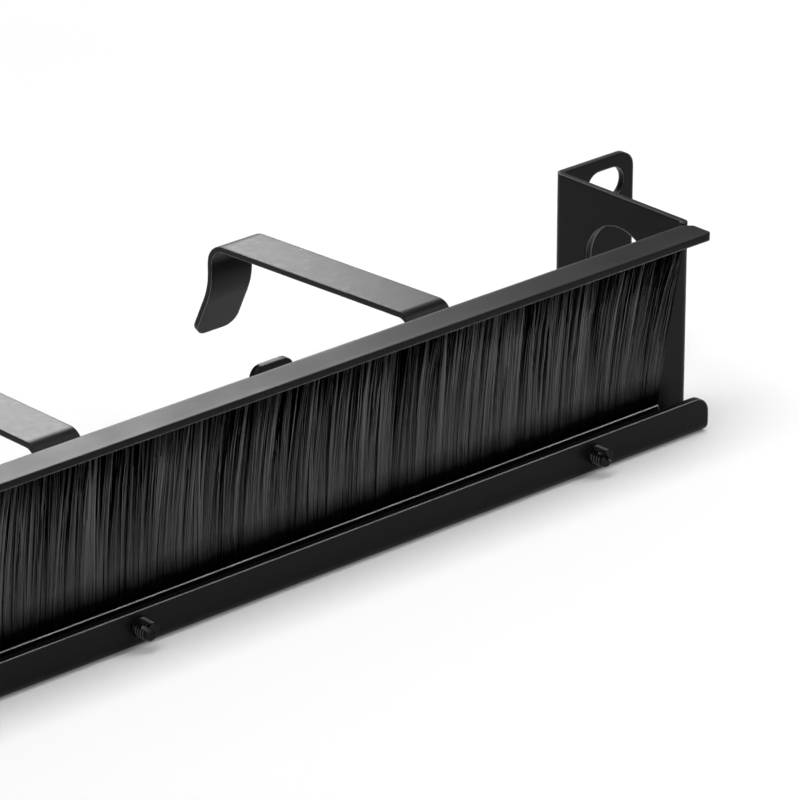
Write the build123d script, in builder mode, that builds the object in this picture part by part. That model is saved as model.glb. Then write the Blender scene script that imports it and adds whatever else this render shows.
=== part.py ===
from build123d import *
import math
import os
import random

# Horizontal cable manager for a 19-inch rack, one rack unit high: a folded steel body with a
# brush clamped in its front tray and strip hooks behind it. Millimetres, +Z up.
# X runs along the panel. The brush faces -Y and the hooks reach to +Y.
# The origin is the centre of the four rack slots, on the rear face of the ears.

# Rack standard
panel_height = 43.65
ear_span = 482.6
slot_end_inset = 8.0
slot_pitch_z = 31.75
slot_length = 10.5
slot_width = 6.8

# Folded body
ear_width = 20.2
body_depth = 38.9
sheet_t = 1.5
bend_r = 0.5
ear_corner_r = 3.5
flange_reach = 7.0
flange_end_inset = 1.1
flange_corner_r = 1.2
lip_height = 7.9
lip_corner_r = 3.5
relief_width = 0.8
relief_depth = 3.2
window_margin = 18.0
window_bottom = 10.0
window_top = 35.0
window_corner_r = 3.0
side_hole_width = 19.0
side_hole_height = 30.4

# Brush strip: channel, core wire and bristles
brush_end_inset = 11.5
channel_width = 3.2
channel_height = 6.0
channel_t = 0.5
channel_r = 0.4
crimp_height = 1.3
crimp_depth = 0.3
wire_r = 0.6
wire_wrap = 0.35
bristle_gap = 0.1
tuft_pitch = 3.3
tuft_depth = 1.6
tuft_depth_step = 0.15
tuft_depth_steps = 4
tuft_lean = 0.35
split_low = 25.0
split_high = 35.5
notch_width = 1.5
tip_gap = 0.25
tip_spread = 1.5
splay_reach = 8.0
splay_length = 34.0

# Clamp screws through the tray lip
screw_r = 2.0
screw_length = 7.0
screw_chamfer = 0.35
screw_slot_width = 0.8
screw_slot_depth = 1.3
screw_slot_overrun = 1.0
screw_bore_gap = 0.05
screw_rise = 2.75
screw_x_inner = 68.7
screw_x_outer = 188.2
screw_slot_angles = [-20.0, 15.0, -38.0, -52.0]

# Strip hooks welded to the back of the panel
hook_width = 10.9
hook_t = 1.2
hook_reach = 61.0
hook_bend_r = 2.3
hook_rear_bend_r = 3.6
flare_start_height = 31.2
flare_angle = 25.5
flare_r = 14.0
tongue_tip_height = 19.5
tongue_corner_r = 3.0
tab_reach = 48.5
tab_height = 17.6
tab_corner_r = 2.6
hook_x_inner = 57.0
hook_x_outer = 150.8
droop_inner = 0.0
droop_outer = 2.4

# How near an edge or face must be to its place or size to be picked
pick_gap = 0.01

# Derived places
top = panel_height / 2
bottom = -top
half_span = ear_span / 2
half_width = half_span - ear_width
slot_pitch_x = ear_span - 2 * slot_end_inset
panel_y = -body_depth
front_y = panel_y - flange_reach
panel_back_y = panel_y + sheet_t
fold_r = bend_r + sheet_t
floor_z = bottom + sheet_t
flange_half = half_width - flange_end_inset
fold_end = half_width - fold_r - relief_width
screw_z = floor_z + screw_rise
screw_places = [-screw_x_outer, -screw_x_inner, screw_x_inner, screw_x_outer]
hook_places = [-hook_x_outer, -hook_x_inner, hook_x_inner, hook_x_outer]
hook_droops = [droop_outer, droop_inner, droop_inner, droop_outer]
brush_half = half_width - brush_end_inset
channel_front_y = panel_y - channel_width
channel_mid_y = panel_y - channel_width / 2
channel_top = floor_z + channel_height

os.makedirs("parts", exist_ok=True)


# Body: one sheet, folded. The front panel carries a top flange and a bottom tray with a lip,
# the side plates fold back from its ends and the ears fold out from them.
with BuildPart() as body:
    with BuildSketch(Plane.YZ.offset(-flange_half)):
        with BuildLine():
            FilletPolyline(
                (front_y, top),
                (panel_back_y, top),
                (panel_back_y, bottom),
                (front_y, bottom),
                (front_y, bottom + lip_height),
                radius=fold_r,
            )
            offset(amount=sheet_t, side=Side.RIGHT)
        make_face()
    extrude(amount=2 * flange_half)

    # Beyond the folds only the flange and the tray go on, with a slanted relief at their roots
    with BuildSketch(Plane.XY.offset(bottom)):
        with BuildLine():
            Polyline(
                (fold_end, panel_back_y),
                (fold_end, panel_y),
                (fold_end + relief_width + sheet_t / 2, panel_y - sheet_t),
                (half_width, panel_y - sheet_t),
                (half_width, panel_back_y),
                close=True,
            )
        make_face()
        mirror(about=Plane.YZ)
    extrude(amount=panel_height, mode=Mode.SUBTRACT)

    # Side plates and ears, from the panel's end round to the ear's outer edge
    with BuildSketch(Plane.XY.offset(bottom)):
        with BuildLine():
            FilletPolyline(
                (fold_end, panel_y),
                (half_width, panel_y),
                (half_width, -sheet_t),
                (half_span, -sheet_t),
                radius=[fold_r, bend_r],
            )
            offset(amount=sheet_t, side=Side.LEFT)
        make_face()
        mirror(about=Plane.YZ)
    extrude(amount=panel_height)

    # Relief notches between the rail folds and the side folds
    with BuildSketch(Plane.XZ.offset(-panel_back_y)):
        with GridLocations(2 * fold_end + relief_width, panel_height - relief_depth, 2, 2):
            Rectangle(relief_width, relief_depth)
    extrude(amount=sheet_t, mode=Mode.SUBTRACT)

    # Window behind the bristles
    with BuildSketch(Plane.XZ.offset(-panel_back_y)):
        with Locations((0, bottom + (window_bottom + window_top) / 2)):
            RectangleRounded(
                2 * (half_width - window_margin), window_top - window_bottom, window_corner_r
            )
    extrude(amount=sheet_t, mode=Mode.SUBTRACT)

    # Cable holes in the side plates
    with BuildSketch(Plane.YZ.offset(-half_width)):
        with Locations((panel_y / 2, 0)):
            SlotOverall(side_hole_height, side_hole_width, rotation=90)
    extrude(amount=2 * half_width, mode=Mode.SUBTRACT)

    # Rack slots in the ears
    with BuildSketch(Plane.XZ):
        with GridLocations(slot_pitch_x, slot_pitch_z, 2, 2):
            SlotOverall(slot_length, slot_width)
    extrude(amount=sheet_t, mode=Mode.SUBTRACT)

    # Tapped holes in the lip for the clamp screws
    with BuildSketch(Plane.XZ.offset(-front_y)):
        with Locations(*[(x, screw_z) for x in screw_places]):
            Circle(screw_r + screw_bore_gap)
    extrude(amount=-sheet_t, mode=Mode.SUBTRACT)

    ear_corners = body.edges().filter_by(Axis.Y).group_by(Axis.X)
    fillet(ear_corners[0] + ear_corners[-1], radius=ear_corner_r)
    end_edges = [
        edge
        for edge in body.edges().filter_by(Axis.Z)
        if abs(abs(edge.center().X) - flange_half) < pick_gap
        and abs(edge.center().Y - front_y) < pick_gap
        and edge.center().Z > 0
    ]
    fillet(end_edges, radius=flange_corner_r)
    lip_edges = [
        edge
        for edge in body.edges().filter_by(Axis.Y)
        if abs(abs(edge.center().X) - flange_half) < pick_gap
        and abs(edge.center().Z - bottom - lip_height) < pick_gap
    ]
    fillet(lip_edges, radius=lip_corner_r)

body.part.label = "body"
export_step(body.part, "parts/body.step")


# Brush channel: a folded strip that stands in the tray against the panel, its rims crimped in
with BuildPart() as brush_channel:
    with BuildSketch(Plane.YZ.offset(-brush_half)):
        with BuildLine():
            FilletPolyline(
                (panel_y - crimp_depth, channel_top),
                (panel_y, channel_top - crimp_height),
                (panel_y, floor_z),
                (channel_front_y, floor_z),
                (channel_front_y, channel_top - crimp_height),
                (channel_front_y + crimp_depth, channel_top),
                radius=channel_r + channel_t,
            )
            offset(amount=channel_t, side=Side.RIGHT)
        make_face()
    extrude(amount=2 * brush_half)

brush_channel.part.label = "brush_channel"
export_step(brush_channel.part, "parts/brush_channel.step")


# Core wire that the bristles are folded round, at the foot of the channel
wire_z = floor_z + channel_t + bristle_gap + wire_wrap + wire_r
with BuildPart() as brush_wire:
    with BuildSketch(Plane.YZ.offset(-brush_half)):
        with Locations((channel_mid_y, wire_z)):
            Circle(wire_r)
    extrude(amount=2 * brush_half)

brush_wire.part.label = "brush_wire"
export_step(brush_wire.part, "parts/brush_wire.step")


# Bristles: a foot that fills the channel, and tufts above it that part towards their tips and
# splay outwards at the ends of the strip
tuft_count = round(2 * brush_half / tuft_pitch)
tuft_foot = channel_top + bristle_gap
tip_top = top - sheet_t - tip_gap
scatter = random.Random(11)


def edge_lean(x):
    """Sideways reach of a tuft edge from foot to tip, growing towards the strip's ends."""
    into_splay = max(0.0, abs(x) - (brush_half - splay_length)) / splay_length
    return math.copysign(splay_reach * into_splay**2, x) + scatter.uniform(-tuft_lean, tuft_lean)


edge_feet = [-brush_half + 2 * brush_half * i / tuft_count for i in range(tuft_count + 1)]
edge_leans = [edge_lean(x) for x in edge_feet]
edge_splits = [bottom + scatter.uniform(split_low, split_high) for x in edge_feet]
tuft_layers = [scatter.randrange(tuft_depth_steps) for i in range(tuft_count)]


def edge_x(i, z):
    """Place along the panel of tuft edge i at height z."""
    return edge_feet[i] + edge_leans[i] * (z - tuft_foot) / (tip_top - tuft_foot)


with BuildPart() as bristles:
    foot_half = channel_width / 2 - channel_t - bristle_gap
    mouth_half = foot_half - crimp_depth
    foot_z = floor_z + channel_t + bristle_gap
    with BuildSketch(Plane.YZ.offset(-brush_half)):
        with BuildLine():
            Polyline(
                (channel_mid_y - mouth_half, tuft_foot),
                (channel_mid_y - mouth_half, channel_top),
                (channel_mid_y - foot_half, channel_top - crimp_height - channel_t),
                (channel_mid_y - foot_half, foot_z + channel_r),
                (channel_mid_y - foot_half + channel_r, foot_z),
                (channel_mid_y + foot_half - channel_r, foot_z),
                (channel_mid_y + foot_half, foot_z + channel_r),
                (channel_mid_y + foot_half, channel_top - crimp_height - channel_t),
                (channel_mid_y + mouth_half, channel_top),
                (channel_mid_y + mouth_half, tuft_foot),
                close=True,
            )
        make_face()
        with Locations((channel_mid_y, wire_z)):
            Circle(wire_r + bristle_gap / 2, mode=Mode.SUBTRACT)
    extrude(amount=2 * brush_half)
    for layer in range(tuft_depth_steps):
        layer_front = channel_mid_y - tuft_depth / 2 - tuft_depth_step * layer / 2
        layer_back = layer_front + tuft_depth + tuft_depth_step * (layer % 2)
        with BuildSketch(Plane.XZ.offset(-layer_back)):
            for i in range(tuft_count):
                if tuft_layers[i] != layer:
                    continue
                left_tip = tip_top - scatter.uniform(0, tip_spread)
                right_tip = tip_top - scatter.uniform(0, tip_spread)
                with BuildLine():
                    Polyline(
                        (edge_x(i, tuft_foot), tuft_foot),
                        (edge_x(i + 1, tuft_foot), tuft_foot),
                        (edge_x(i + 1, edge_splits[i + 1]), edge_splits[i + 1]),
                        (edge_x(i + 1, right_tip) - notch_width / 2, right_tip),
                        (edge_x(i, left_tip) + notch_width / 2, left_tip),
                        (edge_x(i, edge_splits[i]), edge_splits[i]),
                        close=True,
                    )
                make_face()
        extrude(amount=layer_back - layer_front)

bristles.part.label = "bristles"
export_step(bristles.part, "parts/bristles.step")


# Clamp screws: slotted set screws through the lip, pressing the channel against the panel
def clamp_screw(x, slot_angle):
    """Set screw at x along the panel, its slot turned from level by slot_angle degrees."""
    outer_y = channel_front_y - screw_length
    slot_cut = 2 * (screw_r + screw_slot_overrun)
    with BuildPart() as screw:
        with BuildSketch(Plane.XZ.offset(-channel_front_y)):
            with Locations((x, screw_z)):
                Circle(screw_r)
        extrude(amount=screw_length)
        chamfer(screw.edges().filter_by(GeomType.CIRCLE), length=screw_chamfer)
        with BuildSketch(Plane.XZ.offset(-outer_y)):
            with Locations((x, screw_z)):
                Rectangle(slot_cut, screw_slot_width, rotation=slot_angle)
        extrude(amount=-screw_slot_depth, mode=Mode.SUBTRACT)
    return screw


for number, (x, slot_angle) in enumerate(zip(screw_places, screw_slot_angles), start=1):
    screw = clamp_screw(x, slot_angle)
    screw.part.label = f"clamp_screw_{number}"
    export_step(screw.part, f"parts/clamp_screw_{number}.step")


# Hooks: each a strip bent to an open ring, its leg welded to the back of the panel. The tongue
# flares out behind, and the lower arm ends in an upturned tab, with the cable mouth between.
def cable_hook(x, droop):
    """Strip hook at x along the panel, its top arm falling by droop degrees to the rear."""
    tab_y = panel_back_y + tab_reach
    rear_y = panel_back_y + hook_reach
    rear_top = top - hook_reach * math.tan(math.radians(droop))
    flare_start = bottom + flare_start_height
    tip_z = bottom + tongue_tip_height
    tip_y = rear_y + (flare_start - tip_z) * math.tan(math.radians(flare_angle))
    arm_r = hook_bend_r + hook_t
    rear_r = hook_rear_bend_r + hook_t
    with BuildPart() as hook:
        with BuildSketch(Plane.YZ.offset(x - hook_width / 2)):
            with BuildLine():
                FilletPolyline(
                    (tab_y, bottom + tab_height),
                    (tab_y, bottom),
                    (panel_back_y, bottom),
                    (panel_back_y, top),
                    (rear_y, rear_top),
                    (rear_y, flare_start),
                    (tip_y, tip_z),
                    radius=[arm_r, arm_r, arm_r, rear_r, flare_r],
                )
                offset(amount=hook_t, side=Side.RIGHT)
            make_face()
        extrude(amount=hook_width)
        tips = hook.faces().filter_by(lambda face: abs(face.area - hook_width * hook_t) < pick_gap)
        tab_tip, tongue_tip = tips.sort_by(Axis.Y)
        tab_corners = tab_tip.edges().sort_by(SortBy.LENGTH)[:2]
        tongue_corners = tongue_tip.edges().sort_by(SortBy.LENGTH)[:2]
        fillet(tab_corners, radius=tab_corner_r)
        fillet(tongue_corners, radius=tongue_corner_r)
    return hook


for number, (x, droop) in enumerate(zip(hook_places, hook_droops), start=1):
    hook = cable_hook(x, droop)
    hook.part.label = f"hook_{number}"
    export_step(hook.part, f"parts/hook_{number}.step")
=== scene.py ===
import math

import bmesh
import bpy
import numpy as np
from mathutils import Matrix, Vector


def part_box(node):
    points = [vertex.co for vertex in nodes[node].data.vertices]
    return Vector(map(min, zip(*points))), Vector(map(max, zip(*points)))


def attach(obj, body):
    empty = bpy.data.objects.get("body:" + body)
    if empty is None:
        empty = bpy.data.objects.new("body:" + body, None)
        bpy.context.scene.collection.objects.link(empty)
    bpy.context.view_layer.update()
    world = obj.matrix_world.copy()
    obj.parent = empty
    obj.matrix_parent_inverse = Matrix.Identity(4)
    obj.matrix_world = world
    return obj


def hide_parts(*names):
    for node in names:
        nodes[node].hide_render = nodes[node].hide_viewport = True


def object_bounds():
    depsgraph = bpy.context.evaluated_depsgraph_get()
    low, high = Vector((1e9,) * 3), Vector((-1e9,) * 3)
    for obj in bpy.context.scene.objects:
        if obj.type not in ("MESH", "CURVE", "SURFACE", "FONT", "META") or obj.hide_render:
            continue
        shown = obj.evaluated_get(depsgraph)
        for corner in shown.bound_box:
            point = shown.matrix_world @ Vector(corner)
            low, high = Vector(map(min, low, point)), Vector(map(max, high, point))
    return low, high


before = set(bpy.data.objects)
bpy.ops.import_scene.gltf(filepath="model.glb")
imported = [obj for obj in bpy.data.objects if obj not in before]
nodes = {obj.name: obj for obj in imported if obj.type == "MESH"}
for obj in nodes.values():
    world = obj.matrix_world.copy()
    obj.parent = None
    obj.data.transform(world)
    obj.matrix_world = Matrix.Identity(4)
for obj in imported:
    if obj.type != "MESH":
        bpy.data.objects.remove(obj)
cad_low, cad_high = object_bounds()
scene = bpy.context.scene


# Folded body: panel, top flange, front tray, side plates and ears in one piece of steel sheet,
# punched, folded, welded to its hooks and then coated with satin black powder. The cured powder
# has rounded edges, a fine orange peel and a few nibs, which break up its soft shine.
def linear(hex_colour):
    """An sRGB hex colour as linear RGBA."""
    channels = [int(hex_colour[i : i + 2], 16) / 255 for i in (1, 3, 5)]
    return [c / 12.92 if c <= 0.04045 else ((c + 0.055) / 1.055) ** 2.4 for c in channels] + [1.0]


def add_node(tree, kind, settings=None, links=None):
    """Adds a node; settings name its sockets or its own properties, links its incoming sockets."""
    made = tree.nodes.new(kind)
    for name, value in (settings or {}).items():
        if isinstance(name, int) or name in made.inputs:
            made.inputs[name].default_value = value
        else:
            setattr(made, name, value)
    for name, source in (links or {}).items():
        tree.links.new(source, made.inputs[name])
    return made


# The ramp starts at the panel's back and ends by the screw ends, 3 mm in front of the flange
flange_depth = 0.0085
screw_end_gap = 0.0002
ramp_back_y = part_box("body")[0].y + flange_depth
ramp_front_y = cad_low.y + screw_end_gap
ramp_fall = 0.435
ramp_curl = 1.13
curl_start = 0.55
peel_height = 0.00004
nib_height = 0.00008
nib_radius_share = 0.09
# Bevel-normal alignments across which the painted edge highlight fades in
edge_highlight_from = 0.86
edge_highlight_to = 0.73
top_bend = 0.0008


def satin_powder_coat(
    name,
    coat_hex,
    specular_level,
    peel_mm,
    nib_mm,
    cloud_mm,
    rough_low,
    rough_high,
    edge_mm,
    ramp_unit,
):
    """Satin black polyester powder, IOR 1.5. The mm values are the spacing of the peel, the nibs and
    the cloudy patches and the round of the edges. A ramp_unit of 0 leaves the flange's ramp out."""
    material = bpy.data.materials.new(name)
    material.use_nodes = True
    tree = material.node_tree
    tree.nodes.clear()
    place = add_node(tree, "ShaderNodeTexCoord")
    peel = add_node(
        tree,
        "ShaderNodeTexNoise",
        {"Scale": 1000 / peel_mm, "Detail": 3.0, "Roughness": 0.55},
        {"Vector": place.outputs["Object"]},
    )
    cloud = add_node(
        tree,
        "ShaderNodeTexNoise",
        {"Scale": 1000 / cloud_mm, "Detail": 4.0, "Roughness": 0.6},
        {"Vector": place.outputs["Object"]},
    )
    nib_cells = add_node(
        tree,
        "ShaderNodeTexVoronoi",
        {"Scale": 1000 / nib_mm, "Randomness": 1.0},
        {"Vector": place.outputs["Object"]},
    )
    nibs = add_node(
        tree,
        "ShaderNodeMapRange",
        {"From Min": 0.0, "From Max": nib_radius_share, "To Min": 1.0, "To Max": 0.0},
        {"Value": nib_cells.outputs["Distance"]},
    )
    # The top flange is folded a little too far: it looks as if it fell by 2 degrees from the panel
    # and levelled out at its front edge. The ramp's heights are in units of ramp_unit.
    axes = add_node(tree, "ShaderNodeSeparateXYZ", {}, {"Vector": place.outputs["Object"]})
    across = add_node(
        tree,
        "ShaderNodeMapRange",
        {"From Min": ramp_back_y, "From Max": ramp_front_y},
        {"Value": axes.outputs["Y"]},
    )
    past_start = add_node(
        tree,
        "ShaderNodeMapRange",
        {"From Min": curl_start, "From Max": 1.0, "To Max": 1.0 - curl_start},
        {"Value": across.outputs["Result"]},
    )
    curl = add_node(
        tree,
        "ShaderNodeMath",
        {"operation": "MULTIPLY"},
        {0: past_start.outputs["Result"], 1: past_start.outputs["Result"]},
    )
    fall = add_node(
        tree,
        "ShaderNodeMath",
        {"operation": "MULTIPLY", 1: -ramp_fall},
        {0: across.outputs["Result"]},
    )
    ramp = add_node(
        tree,
        "ShaderNodeMath",
        {"operation": "MULTIPLY_ADD", 1: ramp_curl},
        {0: curl.outputs["Value"], 2: fall.outputs["Value"]},
    )
    rounded = add_node(tree, "ShaderNodeBevel", {"samples": 6, "Radius": edge_mm / 1000})
    curved = add_node(
        tree,
        "ShaderNodeBump",
        {"Strength": 1.0, "Distance": ramp_unit},
        {"Height": ramp.outputs["Value"], "Normal": rounded.outputs["Normal"]},
    )
    peel_bump = add_node(
        tree,
        "ShaderNodeBump",
        {"Strength": 0.35, "Distance": peel_height},
        {"Height": peel.outputs["Fac"], "Normal": curved.outputs["Normal"]},
    )
    nib_bump = add_node(
        tree,
        "ShaderNodeBump",
        {"Strength": 0.5, "Distance": nib_height},
        {"Height": nibs.outputs["Result"], "Normal": peel_bump.outputs["Normal"]},
    )
    # Noise keeps mostly between 0.3 and 0.7, which is spread over the whole range of roughness
    sheen_spread = add_node(
        tree,
        "ShaderNodeMapRange",
        {"From Min": 0.3, "From Max": 0.7, "To Min": rough_low, "To Max": rough_high},
        {"Value": cloud.outputs["Fac"]},
    )
    # Painted highlight: where the bevelled normal leaves the face's own, the cut edges get a light,
    # metallic colour for the light their rounded powder catches. The body's bends in its topmost 0.8 mm are
    # left without it.
    face = add_node(tree, "ShaderNodeNewGeometry")
    same_way = add_node(
        tree,
        "ShaderNodeVectorMath",
        {"operation": "DOT_PRODUCT"},
        {0: rounded.outputs["Normal"], 1: face.outputs["Normal"]},
    )
    edge_highlight_share = add_node(
        tree,
        "ShaderNodeMapRange",
        {"From Min": edge_highlight_from, "From Max": edge_highlight_to, "To Min": 0.0, "To Max": 1.0},
        {"Value": same_way.outputs["Value"]},
    )
    below_top = add_node(
        tree,
        "ShaderNodeMath",
        {"operation": "LESS_THAN", 1: cad_high.z - top_bend},
        {0: axes.outputs["Z"]},
    )
    painted_edge_highlight = add_node(
        tree,
        "ShaderNodeMath",
        {"operation": "MULTIPLY"},
        {0: edge_highlight_share.outputs["Result"], 1: below_top.outputs["Value"]},
    )
    tone = add_node(
        tree,
        "ShaderNodeMixRGB",
        {"Color1": linear(coat_hex), "Color2": linear("#111112")},
        {"Fac": cloud.outputs["Fac"]},
    )
    # Painted edge highlight: a light metallic colour laid along the edges
    edge_highlight_tone = add_node(
        tree,
        "ShaderNodeMixRGB",
        {"Color2": linear("#8c8d90")},
        {"Fac": painted_edge_highlight.outputs["Value"], "Color1": tone.outputs["Color"]},
    )
    coat = add_node(
        tree,
        "ShaderNodeBsdfPrincipled",
        {"IOR": 1.5, "Specular IOR Level": specular_level},
        {
            "Base Color": edge_highlight_tone.outputs["Color"],
            "Metallic": painted_edge_highlight.outputs["Value"],
            "Roughness": sheen_spread.outputs["Result"],
            "Normal": nib_bump.outputs["Normal"],
        },
    )
    add_node(tree, "ShaderNodeOutputMaterial", links={"Surface": coat.outputs["BSDF"]})
    return material


def finish_node(node, material):
    """Gives every material slot of a CAD node this finish."""
    for slot in nodes[node].material_slots:
        slot.material = material


body_coat = satin_powder_coat(
    "satin_powder_coat",
    coat_hex="#131314",
    specular_level=0.09,
    peel_mm=0.7,
    nib_mm=11.0,
    cloud_mm=14.0,
    rough_low=0.28,
    rough_high=0.38,
    edge_mm=0.7,
    ramp_unit=0.001,
)
finish_node("body", body_coat)


# Brush channel: black-lacquered steel strip folded to a U and crimped on the bristles. It was
# slit and cut to length after lacquering, so its rims and ends are bare bright steel. Its rolling
# lines are finer than they are drawn, and would not show at their own size.
line_mm = 4.0
line_slimness = 12.0
rim_radius = 0.0004
cut_share = 0.4
lacquer = bpy.data.materials.new("black_lacquered_strip_with_bare_cuts")
lacquer.use_nodes = True
lacquer_tree = lacquer.node_tree
lacquer_tree.nodes.clear()
lacquer_place = add_node(lacquer_tree, "ShaderNodeTexCoord")
line_stretch = add_node(
    lacquer_tree,
    "ShaderNodeMapping",
    {"Scale": (1.0, line_slimness, line_slimness)},
    {"Vector": lacquer_place.outputs["Object"]},
)
rolling_lines = add_node(
    lacquer_tree,
    "ShaderNodeTexNoise",
    {"Scale": 1000 / line_mm, "Detail": 3.0},
    {"Vector": line_stretch.outputs["Vector"]},
)
strip_roughness = add_node(
    lacquer_tree,
    "ShaderNodeMapRange",
    {"From Min": 0.3, "From Max": 0.7, "To Min": 0.4, "To Max": 0.6},
    {"Value": rolling_lines.outputs["Fac"]},
)
rim_round = add_node(lacquer_tree, "ShaderNodeBevel", {"samples": 6, "Radius": rim_radius})
bare_cut = add_node(
    lacquer_tree,
    "ShaderNodeBsdfPrincipled",
    {"Base Color": linear("#b8b9bb"), "Metallic": 1.0},
    {"Roughness": strip_roughness.outputs["Result"], "Normal": rim_round.outputs["Normal"]},
)
lacquered = add_node(
    lacquer_tree,
    "ShaderNodeBsdfPrincipled",
    {"Base Color": linear("#040404"), "IOR": 1.5, "Specular IOR Level": 0.08},
    {"Roughness": strip_roughness.outputs["Result"]},
)
# The lacquer is worn off the corners beside each cut as well, where the normal is rounded
strip_axes = add_node(
    lacquer_tree, "ShaderNodeSeparateXYZ", {}, {"Vector": rim_round.outputs["Normal"]}
)
end_cut = add_node(
    lacquer_tree, "ShaderNodeMath", {"operation": "ABSOLUTE"}, {0: strip_axes.outputs["X"]}
)
any_cut = add_node(
    lacquer_tree,
    "ShaderNodeMath",
    {"operation": "MAXIMUM"},
    {0: end_cut.outputs["Value"], 1: strip_axes.outputs["Z"]},
)
is_cut = add_node(
    lacquer_tree,
    "ShaderNodeMath",
    {"operation": "GREATER_THAN", 1: cut_share},
    {0: any_cut.outputs["Value"]},
)
strip_mix = add_node(
    lacquer_tree,
    "ShaderNodeMixShader",
    {},
    {0: is_cut.outputs["Value"], 1: lacquered.outputs["BSDF"], 2: bare_cut.outputs["BSDF"]},
)
add_node(lacquer_tree, "ShaderNodeOutputMaterial", links={"Surface": strip_mix.outputs["Shader"]})
finish_node("brush_channel", lacquer)


# Core wire: drawn steel that the filaments are folded round, out of sight in the channel. Its
# drawing lines are finer than the noise that stands for them.
wire_line_mm = 0.5
wire_steel = bpy.data.materials.new("drawn_steel_wire")
wire_steel.use_nodes = True
wire_tree = wire_steel.node_tree
wire_tree.nodes.clear()
wire_place = add_node(wire_tree, "ShaderNodeTexCoord")
wire_lines = add_node(
    wire_tree,
    "ShaderNodeTexNoise",
    {"Scale": 1000 / wire_line_mm, "Detail": 2.0},
    {"Vector": wire_place.outputs["Object"]},
)
wire_gloss = add_node(
    wire_tree,
    "ShaderNodeMapRange",
    {"To Min": 0.25, "To Max": 0.4},
    {"Value": wire_lines.outputs["Fac"]},
)
wire_metal = add_node(
    wire_tree,
    "ShaderNodeBsdfPrincipled",
    {"Base Color": linear("#a6a8aa"), "Metallic": 1.0},
    {"Roughness": wire_gloss.outputs["Result"]},
)
add_node(wire_tree, "ShaderNodeOutputMaterial", links={"Surface": wire_metal.outputs["BSDF"]})
finish_node("brush_wire", wire_steel)


# Bristles: black nylon filaments 0.24 mm thick, folded round the core wire and trimmed level.
# They stand in loose locks that lean together, part near their tips and splay outwards at both
# ends of the strip. Towards the channel their feet turn dull and almost black.
bristle_low, bristle_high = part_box("bristles")
channel_low, channel_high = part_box("brush_channel")
filament_r = 0.00012
strand_pitch = 0.0005
lock_pitch = 0.0030
drift_pitch = 0.030
wiped_lean = 0.0024
wiped_more = 0.006
drift_lean = 0.0007
lock_lean = 0.0003
strand_lean = 0.0004
lone_lean = 0.00015
gather_most = 0.25
strand_draw_least = 0.2
strand_draw_most = 0.8
lock_bow = 0.0003
strand_bow = 0.0002
lone_bow = 0.00006
strand_wave = 0.00012
bend_least = 1.3
bend_most = 2.2
end_splay = 0.0050
end_splay_length = 0.034
tip_trim = 0.0009
tip_scatter = 0.0002
tip_taper = 0.25
depth_by_strand = 0.6
depth_by_filament = 0.4
loose_follow = 0.5
loose_tone = 0.3
tone_by_lock = 0.15
tone_by_strand = 0.4
tone_by_filament = 0.55
foot_sunk = 0.002
strip_end_gap = 0.0003
foot_z = channel_high.z - foot_sunk
pack_y = (channel_low.y + channel_high.y) / 2
strip_half = channel_high.x - strip_end_gap
layer_count = 7900
rings = 5
corners = 3


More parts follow.
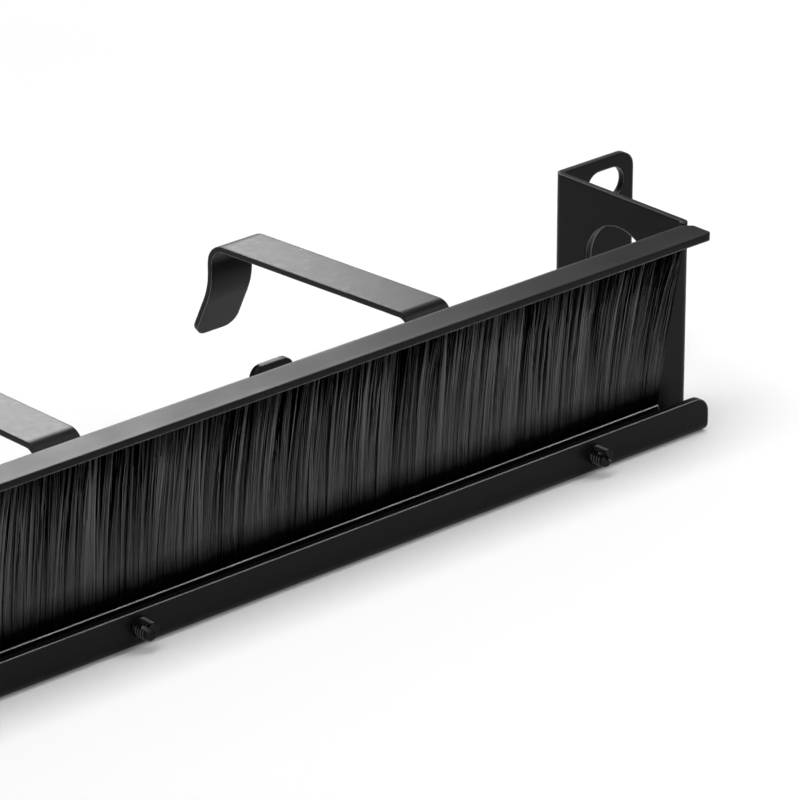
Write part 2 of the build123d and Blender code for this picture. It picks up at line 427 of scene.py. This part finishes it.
def bristle_layer(name, near_y, far_y, loose_share, tone_high, seed):
    """Filaments rooted from near_y to far_y off the core wire's plane. They hold together in
    strands and the strands in locks; loose_share of them stand alone at far_y and close the gaps."""
    count = layer_count
    draw = np.random.default_rng(seed)
    lock_count = int(2 * strip_half / lock_pitch)
    lock_x = np.sort(draw.uniform(-strip_half, strip_half, lock_count))
    drift_x = np.arange(-strip_half, strip_half + drift_pitch, drift_pitch)
    lock_tilt = np.interp(lock_x, drift_x, draw.normal(0, drift_lean, len(drift_x)))
    lock_tilt = lock_tilt + draw.normal(0, lock_lean, lock_count)
    lock_tilt = lock_tilt + wiped_lean + wiped_more * lock_x
    lock_gather = draw.uniform(0.0, gather_most, lock_count)
    lock_bows = draw.normal(0, lock_bow, lock_count)
    lock_tone = draw.uniform(0, 1, lock_count)

    strand_count = int(2 * strip_half / strand_pitch)
    strand_x = np.sort(draw.uniform(-strip_half, strip_half, strand_count))
    of_lock = np.abs(strand_x[:, None] - lock_x[None]).argmin(axis=1)
    strand_shift = (lock_x[of_lock] - strand_x) * lock_gather[of_lock] + lock_tilt[of_lock]
    strand_shift = strand_shift + draw.normal(0, strand_lean, strand_count)
    strand_bows = lock_bows[of_lock] + draw.normal(0, strand_bow, strand_count)
    strand_depth = draw.uniform(0, 1, strand_count)
    strand_waves = draw.normal(0, strand_wave, strand_count)
    strand_tone = tone_by_lock * lock_tone[of_lock]
    strand_tone = strand_tone + tone_by_strand * draw.uniform(0, 1, strand_count) ** 1.5
    strand_draw = draw.uniform(strand_draw_least, strand_draw_most, strand_count)

    root_x = draw.uniform(-strip_half, strip_half, count)
    strand = np.abs(root_x[:, None] - strand_x[None]).argmin(axis=1)
    loose = draw.uniform(0, 1, count) < loose_share
    depth = np.where(loose, 1.0, depth_by_strand * strand_depth[strand])
    depth = depth + depth_by_filament * draw.uniform(0, 1, count)
    root_y = pack_y + near_y + (far_y - near_y) * np.clip(depth, 0, 1)
    into_splay = np.clip(np.abs(root_x) - (strip_half - end_splay_length), 0, None) / end_splay_length
    drawn_in = (strand_x[strand] - root_x) * strand_draw[strand]
    tip_x = (
        root_x
        + np.where(loose, lock_tilt[of_lock[strand]] * loose_follow, strand_shift[strand] + drawn_in)
        + draw.normal(0, lone_lean, count)
        + np.sign(root_x) * end_splay * into_splay**2
    )
    tip_y = root_y + draw.uniform(-tip_scatter, tip_scatter, count)
    tip_z = bristle_high.z - draw.uniform(0, tip_trim, count)
    bend = draw.uniform(bend_least, bend_most, count)
    bow = np.where(loose, 0.0, strand_bows[strand]) + draw.normal(0, lone_bow, count)
    wave = np.where(loose, 0.0, strand_waves[strand])
    turn = draw.uniform(0, 2 * math.pi, count)
    points = np.zeros((count, rings, corners, 3))
    for ring in range(rings):
        up = ring / (rings - 1)
        lean = up**bend
        centre = np.stack(
            [
                root_x
                + (tip_x - root_x) * lean
                + bow * math.sin(math.pi * up)
                + wave * math.sin(2 * math.pi * up),
                root_y + (tip_y - root_y) * lean,
                foot_z + (tip_z - foot_z) * up,
            ],
            axis=1,
        )
        girth = filament_r * (1 - tip_taper * up)
        for corner in range(corners):
            angle = turn + corner * 2 * math.pi / corners
            points[:, ring, corner] = centre + np.stack(
                [girth * np.cos(angle), girth * np.sin(angle), np.zeros(count)], axis=1
            )
    points = np.clip(points, list(bristle_low), list(bristle_high))
    each = rings * corners
    base = np.arange(count)[:, None] * each
    sides = []
    for ring in range(rings - 1):
        for corner in range(corners):
            low_a = ring * corners + corner
            low_b = ring * corners + (corner + 1) % corners
            sides.append([low_a, low_b, low_b + corners, low_a + corners])
    side_faces = (base[:, :, None] + np.array(sides)[None]).reshape(-1, 4)
    tip_faces = base + np.arange(each - corners, each)[None]
    mesh = bpy.data.meshes.new(name)
    mesh.from_pydata(points.reshape(-1, 3).tolist(), [], side_faces.tolist() + tip_faces.tolist())
    mesh.shade_smooth()
    tone_layer = mesh.attributes.new("filament_tone", "FLOAT", "POINT")
    tone = np.where(loose, loose_tone, strand_tone[strand])
    tone = tone + tone_by_filament * draw.uniform(0, 1, count) ** 2
    tone = tone_high * np.clip(tone, 0, 1)
    tone_layer.data.foreach_set("value", np.repeat(tone, each).astype(np.float32))
    layer = bpy.data.objects.new(name, mesh)
    scene.collection.objects.link(layer)
    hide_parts("bristles")
    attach(layer, "root")
    return layer


# Each layer's name, near_y, far_y, loose_share, tone_high and seed
layer_rows = [
    ("bristles_front", -0.0010, -0.0005, 0.06, 1.0, 7),
    ("bristles_second", -0.0007, -0.0001, 0.2, 0.5, 8),
    ("bristles_third", -0.0002, 0.0005, 0.8, 0.25, 9),
    ("bristles_back", 0.0004, 0.0010, 0.5, 0.8, 10),
]
bristle_layers = [bristle_layer(*row) for row in layer_rows]

# Drawn nylon: IOR 1.53, a fairly sharp shine along each filament
even_z = -0.008
parted_z = 0.012
nylon = bpy.data.materials.new("black_nylon_filament")
nylon.use_nodes = True
nylon_tree = nylon.node_tree
nylon_tree.nodes.clear()
mean_tone = 0.15
nylon_tone = add_node(
    nylon_tree, "ShaderNodeAttribute", {"attribute_name": "filament_tone"}
)
# Between the roots the pack is even; towards the tips the filaments part and their tones spread:
# the lighter ones are painted sheen streaks, and those that lie deeper are darkened as painted shade
nylon_place = add_node(nylon_tree, "ShaderNodeTexCoord")
nylon_axes = add_node(
    nylon_tree, "ShaderNodeSeparateXYZ", {}, {"Vector": nylon_place.outputs["Object"]}
)
sheen_and_shade_spread = add_node(
    nylon_tree,
    "ShaderNodeMapRange",
    {"From Min": even_z, "From Max": parted_z, "To Min": 0.35, "To Max": 1.15},
    {"Value": nylon_axes.outputs["Z"]},
)
tone_swing = add_node(
    nylon_tree,
    "ShaderNodeMath",
    {"operation": "SUBTRACT", 1: mean_tone},
    {0: nylon_tone.outputs["Fac"]},
)
tone_with_painted_sheen_and_shade = add_node(
    nylon_tree,
    "ShaderNodeMath",
    {"operation": "MULTIPLY_ADD", 2: mean_tone},
    {0: tone_swing.outputs["Value"], 1: sheen_and_shade_spread.outputs["Result"]},
)
# Painted sheen and shade in the filaments' colour: light grey for sheen streaks, near-black for shade
nylon_colour_with_painted_sheen = add_node(
    nylon_tree,
    "ShaderNodeMixRGB",
    {"Color1": linear("#050505"), "Color2": linear("#747476")},
    {"Fac": tone_with_painted_sheen_and_shade.outputs["Value"]},
)
nylon_roughness = add_node(
    nylon_tree,
    "ShaderNodeMapRange",
    {"To Min": 0.45, "To Max": 0.26},
    {"Value": nylon_tone.outputs["Fac"]},
)
nylon_shader = add_node(
    nylon_tree,
    "ShaderNodeBsdfPrincipled",
    {"IOR": 1.53},
    {"Base Color": nylon_colour_with_painted_sheen.outputs["Color"], "Roughness": nylon_roughness.outputs["Result"]},
)
# Painted shade: dark filaments show less shine and turn flat near-black, the more so near their tips
gap_shade_offset = add_node(
    nylon_tree,
    "ShaderNodeMapRange",
    {"From Min": even_z, "From Max": parted_z, "To Min": 0.45, "To Max": -0.8},
    {"Value": nylon_axes.outputs["Z"]},
)
gap_shade_gain = 3.0
clear_of_gap_shade = add_node(
    nylon_tree,
    "ShaderNodeMath",
    {"operation": "MULTIPLY_ADD", "use_clamp": True, 1: gap_shade_gain},
    {0: tone_with_painted_sheen_and_shade.outputs["Value"], 2: gap_shade_offset.outputs["Result"]},
)
# The feet's darkening fades out at a slightly uneven height, from about 2.4 to 7.6 mm above the channel
dark_foot_patch_mm = 5.0
dark_foot_rise = 0.0032
dark_foot_unevenness = 0.0016
fade_from = -0.0016
fade_to = 0.0036
dark_foot_wander = add_node(
    nylon_tree,
    "ShaderNodeTexNoise",
    {"noise_dimensions": "1D", "Scale": 1000 / dark_foot_patch_mm, "Detail": 4.0},
)
nylon_tree.links.new(nylon_axes.outputs["X"], dark_foot_wander.inputs["W"])
dark_foot_height = add_node(
    nylon_tree,
    "ShaderNodeMath",
    {"operation": "MULTIPLY_ADD", 1: -dark_foot_unevenness, 2: -channel_high.z - dark_foot_rise},
    {0: dark_foot_wander.outputs["Fac"]},
)
above_dark_foot = add_node(
    nylon_tree,
    "ShaderNodeMath",
    {"operation": "ADD"},
    {0: nylon_axes.outputs["Z"], 1: dark_foot_height.outputs["Value"]},
)
clear_of_dark_foot = add_node(
    nylon_tree,
    "ShaderNodeMapRange",
    {"From Min": fade_from, "From Max": fade_to, "To Min": 0.05, "To Max": 1.0},
    {"Value": above_dark_foot.outputs["Value"]},
)
shown = add_node(
    nylon_tree,
    "ShaderNodeMath",
    {"operation": "MULTIPLY"},
    {0: clear_of_dark_foot.outputs["Result"], 1: clear_of_gap_shade.outputs["Value"]},
)
# Flat near-black for the darker feet, and for the painted shade in the gaps near the tips
near_black_feet_and_gap_shade = add_node(nylon_tree, "ShaderNodeBsdfDiffuse", {"Color": linear("#050505")})
nylon_mix = add_node(
    nylon_tree,
    "ShaderNodeMixShader",
    {},
    {0: shown.outputs["Value"], 1: near_black_feet_and_gap_shade.outputs["BSDF"], 2: nylon_shader.outputs["BSDF"]},
)
add_node(nylon_tree, "ShaderNodeOutputMaterial", links={"Surface": nylon_mix.outputs["Shader"]})
for layer in bristle_layers:
    layer.data.materials.append(nylon)


# Clamp screws: M4 set screws with a slotted end, turned in through the tray lip until they press
# the channel on the panel. Black oxide leaves their rolled thread dark, with shiny crests.
thread_pitch = 0.0007
thread_depth = 0.00032
screw_end_chamfer = 0.0004
screw_slot_width = 0.0008
screw_slot_depth = 0.0013
screw_slot_angles = [-20.0, 15.0, -38.0, -52.0]
crest_wear = 0.3
end_wear = 0.04
around = 36
steps_per_turn = 12
flank_slope = 2.6
crest_flat = 0.15
crest_share = 0.6

# The oxide's own grain is far too fine to show, so it is drawn 0.4 mm coarse
oxide_grain_mm = 0.4
oxide = bpy.data.materials.new("black_oxide_steel")
oxide.use_nodes = True
oxide_tree = oxide.node_tree
oxide_tree.nodes.clear()
oxide_place = add_node(oxide_tree, "ShaderNodeTexCoord")
oxide_grain = add_node(
    oxide_tree,
    "ShaderNodeTexNoise",
    {"Scale": 1000 / oxide_grain_mm, "Detail": 3.0},
    {"Vector": oxide_place.outputs["Object"]},
)
oxide_gloss = add_node(
    oxide_tree,
    "ShaderNodeMapRange",
    {"To Min": 0.14, "To Max": 0.28},
    {"Value": oxide_grain.outputs["Fac"]},
)
oxide_wear = add_node(oxide_tree, "ShaderNodeAttribute", {"attribute_name": "thread_wear"})
oxide_colour = add_node(
    oxide_tree,
    "ShaderNodeMixRGB",
    {"Color1": linear("#0c0c0d"), "Color2": linear("#8c8d90")},
    {"Fac": oxide_wear.outputs["Fac"]},
)
oxide_metal = add_node(
    oxide_tree,
    "ShaderNodeBsdfPrincipled",
    {"Metallic": 1.0},
    {"Base Color": oxide_colour.outputs["Color"], "Roughness": oxide_gloss.outputs["Result"]},
)
add_node(oxide_tree, "ShaderNodeOutputMaterial", links={"Surface": oxide_metal.outputs["BSDF"]})


def clamp_screw(number, slot_degrees):
    """Threaded set screw in the place of its CAD node, slotted at its outer end."""
    low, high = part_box(f"clamp_screw_{number}")
    axis_x = (low.x + high.x) / 2
    axis_z = (low.z + high.z) / 2
    outer_r = (high.x - low.x) / 2
    length = high.y - low.y
    rows = int(length / thread_pitch * steps_per_turn) + 1
    shell = bmesh.new()
    grid = []
    for row in range(rows + 1):
        along = length * row / rows
        from_end = min(along, length - along)
        chamfer_r = outer_r - max(0.0, screw_end_chamfer - from_end)
        ring = []
        for step in range(around):
            angle = 2 * math.pi * step / around
            phase = (along / thread_pitch - step / around) % 1.0
            flank = min(1.0, max(0.0, abs(phase - 0.5) * flank_slope - crest_flat))
            radius = min(outer_r - thread_depth * flank, chamfer_r)
            ring.append(
                shell.verts.new(
                    (axis_x + radius * math.cos(angle), low.y + along, axis_z + radius * math.sin(angle))
                )
            )
        grid.append(ring)
    for row in range(rows):
        for step in range(around):
            following = (step + 1) % around
            shell.faces.new(
                (grid[row][step], grid[row][following], grid[row + 1][following], grid[row + 1][step])
            )
    shell.faces.new(grid[0])
    shell.faces.new(list(reversed(grid[-1])))
    bmesh.ops.recalc_face_normals(shell, faces=shell.faces)
    blank_mesh = bpy.data.meshes.new("screw_blank")
    shell.to_mesh(blank_mesh)
    shell.free()
    blank = bpy.data.objects.new("screw_blank", blank_mesh)
    scene.collection.objects.link(blank)

    blade = bmesh.new()
    bmesh.ops.create_cube(blade, size=1.0)
    bmesh.ops.scale(blade, vec=(6 * outer_r, 2 * screw_slot_depth, screw_slot_width), verts=blade.verts)
    bmesh.ops.rotate(
        blade, cent=(0, 0, 0), matrix=Matrix.Rotation(math.radians(-slot_degrees), 3, "Y"), verts=blade.verts
    )
    bmesh.ops.translate(blade, vec=(axis_x, low.y, axis_z), verts=blade.verts)
    blade_mesh = bpy.data.meshes.new("slot_blade")
    blade.to_mesh(blade_mesh)
    blade.free()
    cutter = bpy.data.objects.new("slot_blade", blade_mesh)
    scene.collection.objects.link(cutter)
    cut = blank.modifiers.new("slot", "BOOLEAN")
    cut.object = cutter
    cut.operation = "DIFFERENCE"
    cut.solver = "EXACT"
    bpy.context.view_layer.update()
    shaped = bpy.data.meshes.new_from_object(blank.evaluated_get(bpy.context.evaluated_depsgraph_get()))
    bpy.data.objects.remove(blank)
    bpy.data.objects.remove(cutter)
    shaped.name = f"slotted_screw_{number}"
    shaped.materials.clear()
    shaped.materials.append(oxide)
    place = np.zeros(len(shaped.vertices) * 3)
    shaped.vertices.foreach_get("co", place)
    place = place.reshape(-1, 3)
    reach = np.hypot(place[:, 0] - axis_x, place[:, 2] - axis_z)
    crest_depth = thread_depth * crest_share
    crest = np.clip((reach - outer_r + crest_depth) / crest_depth, 0, 1)
    at_end = place[:, 1] < low.y + screw_end_chamfer / 2
    wear = shaped.attributes.new("thread_wear", "FLOAT", "POINT")
    wear.data.foreach_set("value", np.where(at_end, end_wear, crest * crest_wear).astype(np.float32))
    screw = bpy.data.objects.new(f"slotted_screw_{number}", shaped)
    scene.collection.objects.link(screw)
    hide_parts(f"clamp_screw_{number}")
    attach(screw, "root")


for index, slot_degrees in enumerate(screw_slot_angles, start=1):
    clamp_screw(index, slot_degrees)


# Hooks: steel strip bent to open rings, spot-welded behind the panel and coated with it. Their
# sheared edges keep a small round under the powder, which has a slightly coarser peel here.
hook_coat = satin_powder_coat(
    "satin_powder_coat_on_strip",
    coat_hex="#0a0a0b",
    specular_level=0.125,
    peel_mm=0.9,
    nib_mm=9.0,
    cloud_mm=1.8,
    rough_low=0.27,
    rough_high=0.34,
    edge_mm=0.45,
    ramp_unit=0.0,
)
for index in range(1, 5):
    finish_node(f"hook_{index}", hook_coat)


# Studio: a flat white paper under the manager, so wide that it fills the picture behind it too.
# It takes the soft shadow; its own glow is seen and mirrored, and lights nothing.
floor_z = cad_low.z
floor_mesh = bpy.data.meshes.new("studio_floor")
floor_half = 6.0
floor_mesh.from_pydata(
    [
        (-floor_half, -floor_half, floor_z),
        (floor_half, -floor_half, floor_z),
        (floor_half, floor_half, floor_z),
        (-floor_half, floor_half, floor_z),
    ],
    [],
    [(0, 1, 2, 3)],
)
floor = bpy.data.objects.new("studio_floor", floor_mesh)
scene.collection.objects.link(floor)
paper = bpy.data.materials.new("white_studio_paper")
paper.use_nodes = True
paper_tree = paper.node_tree
paper_tree.nodes.clear()
paper_rays = add_node(paper_tree, "ShaderNodeLightPath")
seen_or_mirrored = add_node(
    paper_tree,
    "ShaderNodeMath",
    {"operation": "MAXIMUM"},
    {0: paper_rays.outputs["Is Camera Ray"], 1: paper_rays.outputs["Is Glossy Ray"]},
)
seen_at_all = add_node(
    paper_tree,
    "ShaderNodeMath",
    {"operation": "MAXIMUM"},
    {0: seen_or_mirrored.outputs["Value"], 1: paper_rays.outputs["Is Transmission Ray"]},
)
# The paper stays white out to its edge, where the softboxes no longer reach it
glow_near_r = 0.35
glow_far_r = 1.6
paper_place = add_node(paper_tree, "ShaderNodeTexCoord")
paper_radius = add_node(
    paper_tree, "ShaderNodeVectorMath", {"operation": "LENGTH"}, {0: paper_place.outputs["Object"]}
)
paper_need = add_node(
    paper_tree,
    "ShaderNodeMapRange",
    {"From Min": glow_near_r, "From Max": glow_far_r, "To Min": 0.09, "To Max": 0.95},
    {"Value": paper_radius.outputs["Value"]},
)
paper_lift = add_node(
    paper_tree,
    "ShaderNodeMath",
    {"operation": "MULTIPLY"},
    {0: seen_at_all.outputs["Value"], 1: paper_need.outputs["Result"]},
)
paper_diffuse = add_node(paper_tree, "ShaderNodeBsdfDiffuse", {"Color": linear("#f2f2f2")})
paper_glow = add_node(paper_tree, "ShaderNodeEmission", {}, {"Strength": paper_lift.outputs["Value"]})
paper_both = add_node(
    paper_tree,
    "ShaderNodeAddShader",
    {},
    {0: paper_diffuse.outputs["BSDF"], 1: paper_glow.outputs["Emission"]},
)
add_node(paper_tree, "ShaderNodeOutputMaterial", links={"Surface": paper_both.outputs["Shader"]})
floor_mesh.materials.append(paper)

# The room is dim grey, and brighter behind the manager than in front of it
world = bpy.data.worlds.new("studio_sky")
scene.world = world
world.use_nodes = True
sky_tree = world.node_tree
sky_tree.nodes.clear()
sky_place = add_node(sky_tree, "ShaderNodeTexCoord")
sky_axes = add_node(sky_tree, "ShaderNodeSeparateXYZ", {}, {"Vector": sky_place.outputs["Generated"]})
sky_behind = add_node(
    sky_tree,
    "ShaderNodeMapRange",
    {"From Min": -0.1, "From Max": 0.7, "To Min": 0.10, "To Max": 0.30},
    {"Value": sky_axes.outputs["Y"]},
)
sky = add_node(sky_tree, "ShaderNodeBackground", {}, {"Color": sky_behind.outputs["Result"]})
add_node(sky_tree, "ShaderNodeOutputWorld", links={"Surface": sky.outputs["Background"]})


def softbox(name, place, aim, width, height, radiance):
    """Rectangular area light at place, facing aim, whose face shines at the given radiance."""
    lamp = bpy.data.lights.new(name, "AREA")
    lamp.shape = "RECTANGLE"
    lamp.size = width
    lamp.size_y = height
    lamp.energy = radiance * math.pi * width * height
    stand = bpy.data.objects.new(name, lamp)
    stand.location = place
    stand.rotation_euler = (Vector(aim) - Vector(place)).to_track_quat("-Z", "Y").to_euler()
    scene.collection.objects.link(stand)
    return stand


# The back box only mirrors in the coat: its diffuse light is off, so it leaves no pool on the paper
back_box = softbox(
    "back_softbox",
    place=(0.43, 0.71, 0.52),
    aim=(0.10, 0.0, 0.0),
    width=0.62,
    height=0.60,
    radiance=9.0,
)
back_box.visible_diffuse = False
softbox(
    "top_softbox",
    place=(0.0, 0.08, 1.3),
    aim=(0.0, 0.08, 0.0),
    width=1.5,
    height=0.6,
    radiance=5.4,
)
softbox(
    "side_softbox",
    place=(0.95, -0.58, 0.90),
    aim=(0.1, 0.0, 0.0),
    width=0.9,
    height=0.9,
    radiance=2.4,
)


# Camera: a long lens in front and to the left, above the manager; its place and angles were
# found by fitting the photograph's picture of the rack-standard sizes
camera_place = (-0.568736, -0.815074, 0.461056)
camera_angles = (-42.441, 23.4061, 0.07734)
turn_z, tilt, roll = (math.radians(angle) for angle in camera_angles)
camera_data = bpy.data.cameras.new("camera")
camera = bpy.data.objects.new("camera", camera_data)
scene.collection.objects.link(camera)
backward = Vector(
    (math.sin(turn_z) * math.cos(tilt), -math.cos(turn_z) * math.cos(tilt), math.sin(tilt))
)
level = Vector((0, 0, 1)).cross(backward).normalized()
upward = backward.cross(level)
right_hand = math.cos(roll) * level + math.sin(roll) * upward
top_hand = -math.sin(roll) * level + math.cos(roll) * upward
camera_axes = Matrix((right_hand, top_hand, backward)).transposed().to_4x4()
camera.matrix_world = Matrix.Translation(camera_place) @ camera_axes
camera_data.sensor_width = 36.0
camera_data.lens = 264.0
camera_data.clip_start = 0.05
camera_data.clip_end = 30.0
scene.camera = camera
scene.view_settings.view_transform = "Standard"
